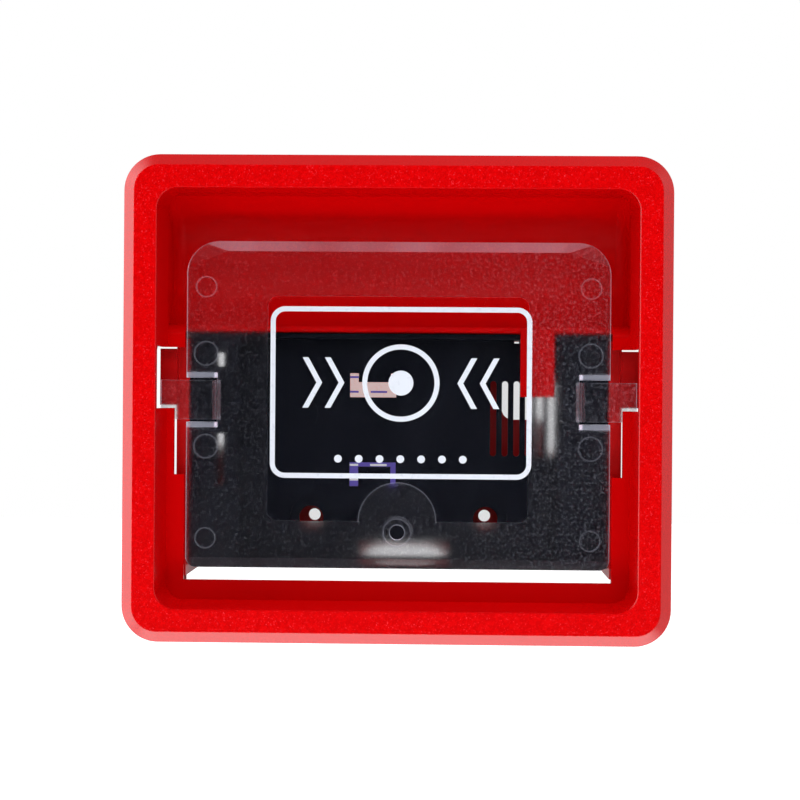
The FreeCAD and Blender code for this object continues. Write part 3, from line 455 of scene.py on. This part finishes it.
def clearPanelMaterial():
    look = panelLook
    material, tree = newMaterial("clearPanel")
    vector, x, y, z = tree.ownPlace()
    bottom = panelLow.z + look["windowBottom"]
    top = panelHigh.z - look["windowTop"]
    polished = polishedPart(tree, x, z, bottom, top)
    grain = useGroup(tree, sparkGrain, Vector=vector, Grain_Scale=look["frostGrain"])
    marks = useGroup(tree, handling, Vector=vector, Smear_Scale=look["smearScale"])
    facing = tree.facing()
    aside = tree.maths("ABSOLUTE", x)

    # frosting on the front face and on the faces of the tongues
    depth = panelLow.y + look["frostDepth"]
    outer = tree.ramp(y, depth, depth + look["frostSoft"], 1.0, 0.0)
    face = look["tongueFace"]
    tongue = tree.between(y, face - look["tongueBefore"], face + look["tongueBehind"], look["tongueSoft"])
    tongue = tree.times(tongue, tree.ramp(aside, look["ribStart"] - look["tongueInner"], look["ribStart"]))
    outer = tree.highest(outer, tongue)
    frostHere = tree.times(tree.maths("SUBTRACT", 1.0, polished), outer)
    frost = tree.maths("MULTIPLY_ADD", marks["Smear"], look["frostMatting"], look["frostRoughness"])
    clear = tree.maths("MULTIPLY_ADD", marks["Smear"], look["polishMatting"], look["polishRoughness"])
    roughness = tree.ramp(frostHere, 0.0, 1.0, clear, frost, smooth=False)
    fleck = tree.ramp(grain["Height"], *look["fleckRange"])
    grainTint = tree.mixColours(fleck, look["frostTint"], look["tint"])
    colour = tree.mixColours(frostHere, look["tint"], grainTint)
    strength = tree.ramp(frostHere, 0.0, 1.0, 0.0, look["frostBump"], smooth=False)
    normal = bumpFrom(tree, grain["Height"], strength, look["frostGrainDepth"])

    # lines of the moulding marks, and the half ring of the land, which show as painted glow
    rings = ringLine(tree, aside, z, 0.0, bottom, look["landRadius"])
    rings = tree.times(rings, tree.ramp(z, bottom - 0.001, bottom))
    for centreX, rise, size in look["marks"]:
        rings = tree.highest(rings, ringLine(tree, aside, z, centreX, panelLow.z + rise, size))

    # painted glow on the cut edges and the ribs, and a painted highlight on the top bevel where it looks up
    edge = tree.ramp(tree.maths("ABSOLUTE", facing[1]), 0.05, 0.4, look["paintedEdgeGlow"], 0.0)
    bevel = tree.times(tree.ramp(facing[2], 0.15, 0.32, 0.0, look["paintedBevelHighlight"]),
                       tree.ramp(marks["Smear"], 0.3, 0.7, 0.7, 1.5))
    offTongue = tree.away(z, panelLow.z + look["tongueHeight"])
    ribs = tree.between(offTongue, look["ribNear"], look["ribFar"], look["ribSoft"])
    rootNear, rootFar = look["rootReach"]
    root = tree.times(tree.ramp(offTongue, rootNear, rootFar, 1.0, 0.0),
                      tree.ramp(aside, look["tongueRoot"], look["tongueRoot"] + look["rootSoft"], 1.0, 0.0))
    edge = tree.times(edge, tree.maths("MULTIPLY_ADD", root, -look["rootDimming"], 1.0))
    alongRib = tree.between(aside, look["ribStart"] - look["ribSoft"], look["ribEnd"], look["ribSoft"])
    ribGlow = tree.times(ribs, alongRib, look["paintedRibGlow"])

    # painted glow on the frosting: a faint haze and bright specks, painted stronger to the right and lower
    # down
    paintedHaze = tree.times(tree.ramp(marks["Smear"], 0.3, 0.75, 0.4, 1.6), look["paintedHaze"])
    paintedLightSpread = tree.times(tree.ramp(x, *look["paintedLightAcross"]), tree.ramp(z, *look["paintedLightDown"]))
    specks = tree.times(fleck, paintedLightSpread, look["paintedSpeckGlints"])
    frosted = tree.times(tree.maths("ADD", paintedHaze, specks), frostHere)
    paintedGlow = tree.highest(tree.times(rings, look["paintedMarkGlow"]), edge, bevel, ribGlow)
    glow = tree.mixColours(tree.highest(frosted, paintedGlow), (0, 0, 0, 1), look["paintedGlow"])

    path = tree.add("ShaderNodeLightPath")
    alpha = tree.maths("MULTIPLY_ADD", path.outputs["Is Shadow Ray"], -look["shadowPass"], 1.0)
    shader = finishMaterial(tree, Base_Color=colour, Roughness=roughness, Normal=normal, Alpha=alpha,
                            Emission_Color=glow)
    shader.inputs["Emission Strength"].default_value = 1.0
    shader.inputs["IOR"].default_value = look["bending"]
    shader.inputs["Specular Tint"].default_value = look["reflection"]
    shader.inputs["Transmission Weight"].default_value = 1.0
    shader.inputs["Metallic"].default_value = 0.0
    return material


inkLook = {
    "white": (0.7, 0.75, 0.83, 1),
    "thin": (0.6, 0.65, 0.74, 1),
    "mesh": 700.0,
    "threads": 4,             # times finer than the thin spots
    "meshBump": 0.15,
    "meshDepth": 0.00003,
    "roughness": 0.38,
    "thinMatting": 0.2,
}


def whiteInkMaterial():
    # screen print: a hint of the mesh and thinner spots
    look = inkLook
    material, tree = newMaterial("whiteInk")
    vector = tree.ownVector()
    thin = tree.noise(vector, look["mesh"], 2.0)
    colour = tree.mixColours(tree.ramp(thin, 0.55, 0.8), look["white"], look["thin"])
    mesh = tree.noise(vector, look["mesh"] * look["threads"], 1.0)
    normal = bumpFrom(tree, mesh, look["meshBump"], look["meshDepth"])
    roughness = tree.maths("MULTIPLY_ADD", thin, look["thinMatting"], look["roughness"])
    finishMaterial(tree, Base_Color=colour, Roughness=roughness, Normal=normal, IOR=plasticBending)
    return material


plateLook = {
    "black": (0.003, 0.0038, 0.0075, 1),
    "grey": (0.006, 0.0072, 0.0125, 1),
    "grain": 1900.0,
    "roughness": 0.32,        # with the smears' part on top, as in the next two
    "specular": 0.1,
}
switchLook = {
    "black": (0.02, 0.02, 0.022, 1),
    "grey": (0.035, 0.035, 0.04, 1),
    "grain": 2600.0,
    "roughness": 0.42,
    "specular": 0.5,
}
buttonLook = {     # a dull red one
    "black": (0.42, 0.03, 0.02, 1),
    "grey": (0.5, 0.05, 0.035, 1),
    "grain": 3000.0,
    "roughness": 0.34,
    "specular": 0.5,
}
smallPartLook = {
    "smearScale": 34.0,
    "dust": 0.5,
    "dustMix": 0.5,
    "dustGrey": (0.4, 0.4, 0.42, 1),
    "smearMatting": 0.2,
    "grainBump": 0.4,
    "grainDepth": 0.00006,
}


def grainedPlasticMaterial(name, look):
    shared = smallPartLook
    material, tree = newMaterial(name)
    vector = tree.ownVector()
    grain = useGroup(tree, sparkGrain, Vector=vector, Grain_Scale=look["grain"])
    marks = useGroup(tree, handling, Vector=vector, Smear_Scale=shared["smearScale"], Dust=shared["dust"])
    tone = tree.mixColours(tree.ramp(marks["Smear"], 0.4, 0.75), look["black"], look["grey"])
    dusty = tree.mixColours(tree.times(marks["Dust Mask"], shared["dustMix"]), tone, shared["dustGrey"])
    roughness = tree.maths("MULTIPLY_ADD", marks["Smear"], shared["smearMatting"], look["roughness"])
    normal = bumpFrom(tree, grain["Height"], shared["grainBump"], shared["grainDepth"])
    shader = finishMaterial(tree, Base_Color=dusty, Roughness=roughness, Normal=normal)
    shader.inputs["IOR"].default_value = plasticBending
    shader.inputs["Specular IOR Level"].default_value = look["specular"]
    return material


labelLook = {
    "paper": (0.85, 0.5, 0.48, 1),
    "pale": (0.95, 0.78, 0.76, 1),
    "violet": (0.13, 0.1, 0.42, 1),
    "chalk": (0.8, 0.8, 0.85, 1),
    "fibreScale": 1200.0,
    "fibreBump": 0.2,
    "fibreDepth": 0.00003,
    "roughness": 0.5,
    "fibreMatting": 0.2,
    "pitch": 0.0052,          # from rule to rule
    "ruleRange": (0.06, 0.08),
    "breaks": 620.0,          # how close the gaps in a rule follow each other
    "split": -0.01,           # violet below this height
    "splitSoft": 0.0002,
    # strength of the label's painted glow
    "paintedLabelGlow": 0.65,
    "bending": 1.45,
}


def labelMaterial():
    # pale pink label over a violet one, with a few plain rules
    look = labelLook
    material, tree = newMaterial("innerLabel")
    vector, x, y, z = tree.ownPlace()
    fibre = tree.noise(vector, look["fibreScale"], 3.0)
    paper = tree.mixColours(fibre, look["paper"], look["pale"])
    wave = tree.maths("FRACT", tree.maths("DIVIDE", z, look["pitch"]))
    ruleStart, ruleEnd = look["ruleRange"]
    rule = tree.ramp(tree.away(wave, 0.5), ruleStart, ruleEnd, 1.0, 0.0)
    broken = tree.ramp(tree.maths("SINE", tree.times(x, look["breaks"])), -0.3, -0.2)
    marked = tree.times(rule, broken)
    upper = tree.mixColours(marked, paper, look["violet"])
    lower = tree.mixColours(marked, look["violet"], look["chalk"])
    colour = tree.mixColours(tree.ramp(z, look["split"], look["split"] + look["splitSoft"]), lower, upper)
    normal = bumpFrom(tree, fibre, look["fibreBump"], look["fibreDepth"])
    roughness = tree.maths("MULTIPLY_ADD", fibre, look["fibreMatting"], look["roughness"])
    # the label glows with its own colour, a painted glow, as there is no lamp behind it
    shader = finishMaterial(tree, Base_Color=colour, Roughness=roughness, Normal=normal, Emission_Color=colour)
    shader.inputs["IOR"].default_value = look["bending"]
    shader.inputs["Emission Strength"].default_value = look["paintedLabelGlow"]
    return material


zincLook = {
    "bright": (0.72, 0.72, 0.74, 1),
    "dull": (0.5, 0.51, 0.55, 1),
    "roughness": 0.24,        # with the smears' part on top, as in the next two
    "lines": 2400.0,
}
springLook = {
    "bright": (0.74, 0.73, 0.71, 1),
    "dull": (0.55, 0.55, 0.55, 1),
    "roughness": 0.18,
    "lines": 3200.0,
}
brassLook = {
    "bright": (0.86, 0.62, 0.26, 1),
    "dull": (0.62, 0.42, 0.17, 1),
    "roughness": 0.22,
    "lines": 2600.0,
}
metalLook = {"smearScale": 120.0, "smearMatting": 0.25, "lineBump": 0.2, "lineDepth": 0.00002}


def metalMaterial(name, look):
    shared = metalLook
    material, tree = newMaterial(name)
    vector = tree.ownVector()
    lines = useGroup(tree, brushed, Vector=vector, Line_Scale=look["lines"])
    marks = useGroup(tree, handling, Vector=vector, Smear_Scale=shared["smearScale"])
    tone = tree.mixColours(lines["Tone"], look["bright"], look["dull"])
    roughness = tree.maths("MULTIPLY_ADD", marks["Smear"], shared["smearMatting"], look["roughness"])
    normal = bumpFrom(tree, lines["Height"], shared["lineBump"], shared["lineDepth"])
    shader = finishMaterial(tree, Base_Color=tone, Roughness=roughness, Normal=normal)
    shader.inputs["Metallic"].default_value = 1.0
    return material


redCase = redCaseMaterial()
zinc = metalMaterial("zincPlate", zincLook)
brass = metalMaterial("brassStrip", brassLook)
blackPlate = grainedPlasticMaterial("blackPlate", plateLook)
switchPlastic = grainedPlasticMaterial("switchPlastic", switchLook)
finishes = {
    "front_cover": redCoverMaterial(),
    "rear_case": redCase,
    "case_guides": redCase,
    "key_plate": blackPlate,
    "clear_panel": clearPanelMaterial(),
    "panel_print": whiteInkMaterial(),
    "inner_label": labelMaterial(),
    "case_screws": zinc,
    "plate_screws": zinc,
    "switch_slider": blackPlate,
    "switch_lever": metalMaterial("springSteel", springLook),
    "lever_pin": zinc,
    "switch_plunger": grainedPlasticMaterial("redButton", buttonLook),
    "switch_case": switchPlastic,
    "switch_cover": switchPlastic,
    "switch_blade": brass,
    "switch_terminals": brass,
    "switch_screws": zinc,
}
for name, material in finishes.items():
    slots = nodes[name].data.materials
    slots.clear()
    slots.append(material)
print("finishes given to", len(finishes), "pieces")


# studio

floorLook = {
    "height": -0.36,
    "size": 9.0,
    "colour": (0.93, 0.93, 0.93, 1),
    "cloud": (0.9, 0.9, 0.9, 1),
    "cloudScale": 2.0,
    "roughness": 0.8,
    "glowSeen": (0.75, 0.75, 0.75, 1),      # so that the floor shows as white
    "glow": (0.12, 0.12, 0.12, 1),
}


def floorSheet():
    look = floorLook
    half = look["size"] / 2
    level = look["height"]
    mesh = bpy.data.meshes.new("studioFloor")
    corners = [(-half, -half, level), (half, -half, level), (half, half, level), (-half, half, level)]
    mesh.from_pydata(corners, [], [(0, 1, 2, 3)])
    floor = bpy.data.objects.new("studioFloor", mesh)
    scene.collection.objects.link(floor)
    material, tree = newMaterial("paleFloor")
    cloud = tree.noise(tree.ownVector(), look["cloudScale"], 2.0)
    tone = tree.mixColours(cloud, look["colour"], look["cloud"])
    path = tree.add("ShaderNodeLightPath")
    glow = tree.mixColours(path.outputs["Is Camera Ray"], look["glow"], look["glowSeen"])
    finishMaterial(tree, Base_Color=tone, Roughness=look["roughness"], Emission_Color=glow,
                   Emission_Strength=1.0)
    mesh.materials.append(material)
    floor.visible_glossy = False     # the polished panel stays free of its reflection


worldLook = {
    "backBrightness": 0.75,
    "frontBrightness": 0.015,
    "depthRange": (-0.15, 0.6),     # from dim in front to bright behind
    "leftCard": 2.1,                # white cards beside and under the object
    "leftRange": (-0.3, -0.95),
    "rightCard": 0.45,
    "rightRange": (0.5, 0.95),
    "lowCard": 2.6,
    "lowRange": (-0.5, -0.95),
    "cardRange": (-0.6, -0.15),     # the cards fade out towards the camera
}


def studioWorld():
    # white behind the object, dim on the camera's side so that the red keeps its depth
    look = worldLook
    world = bpy.data.worlds.new("studioWorld")
    world.use_nodes = True
    world.node_tree.nodes.clear()
    tree = Tree(world.node_tree)
    coordinates = tree.add("ShaderNodeTexCoord")
    x, y, z = tree.add("ShaderNodeSeparateXYZ", Vector=coordinates.outputs["Generated"]).outputs
    around = tree.ramp(y, *look["depthRange"], look["frontBrightness"], look["backBrightness"])
    left = tree.ramp(x, *look["leftRange"], 0.0, look["leftCard"])
    right = tree.ramp(x, *look["rightRange"], 0.0, look["rightCard"])
    below = tree.ramp(z, *look["lowRange"], 0.0, look["lowCard"])
    cards = tree.times(tree.highest(left, right, below), tree.ramp(y, *look["cardRange"]))
    path = tree.add("ShaderNodeLightPath")
    seen = tree.highest(tree.maths("ADD", around, cards), path.outputs["Is Camera Ray"])
    light = tree.add("ShaderNodeBackground", Color=(1, 1, 1, 1), Strength=seen)
    output = tree.add("ShaderNodeOutputWorld")
    tree.tree.links.new(light.outputs[0], output.inputs[0])
    scene.world = world


softboxes = {      # all of them look at the object's middle
    "leftSoftbox": {"place": (-1.0, -0.25, 0.1), "size": (0.5, 0.9), "power": 3.5},
    "rightSoftbox": {"place": (0.9, -0.6, 0.15), "size": (0.5, 0.9), "power": 0.8},
    "topSoftbox": {"place": (0.1, -0.36, 0.95), "size": (0.8, 0.3), "power": 6.0},
    "frontSoftbox": {"place": (0.15, -0.92, 0.56), "size": (0.9, 0.5), "power": 4.1},
    "lowSoftbox": {"place": (0.0, -0.35, -0.34), "size": (0.9, 0.2), "power": 1.8},
}


def softLight(name, place, size, power):
    data = bpy.data.lights.new(name, "AREA")
    data.shape = "RECTANGLE"
    data.size, data.size_y = size
    data.energy = power
    light = bpy.data.objects.new(name, data)
    light.visible_glossy = False     # no bright squares on the polished plastic
    light.location = place
    light.rotation_euler = (-Vector(place)).to_track_quat("-Z", "Y").to_euler()
    scene.collection.objects.link(light)


floorSheet()
studioWorld()
for name, softbox in softboxes.items():
    softLight(name, **softbox)
scene.view_settings.view_transform = "Standard"

cameraLook = {
    "place": (0.01526, -0.6505, 0.00209),
    "turn": 1.357,     # degrees to the left
    "tilt": -0.204,
    "roll": 0.431,
    "lens": 82.0,
    "sensor": 36.0,
    "nearest": 0.01,
    "farthest": 50.0,
}


def photoCamera():
    look = cameraLook
    data = bpy.data.cameras.new("photoCamera")
    data.sensor_width = look["sensor"]
    data.lens = look["lens"]
    data.clip_start = look["nearest"]
    data.clip_end = look["farthest"]
    camera = bpy.data.objects.new("photoCamera", data)
    aim = Euler((math.radians(90 + look["tilt"]), 0, math.radians(look["turn"]))).to_matrix()
    spin = Matrix.Rotation(math.radians(look["roll"]), 3, "Z")
    camera.matrix_world = Matrix.Translation(look["place"]) @ (aim @ spin).to_4x4()
    scene.collection.objects.link(camera)
    scene.camera = camera


photoCamera()
print("studio and camera ready")
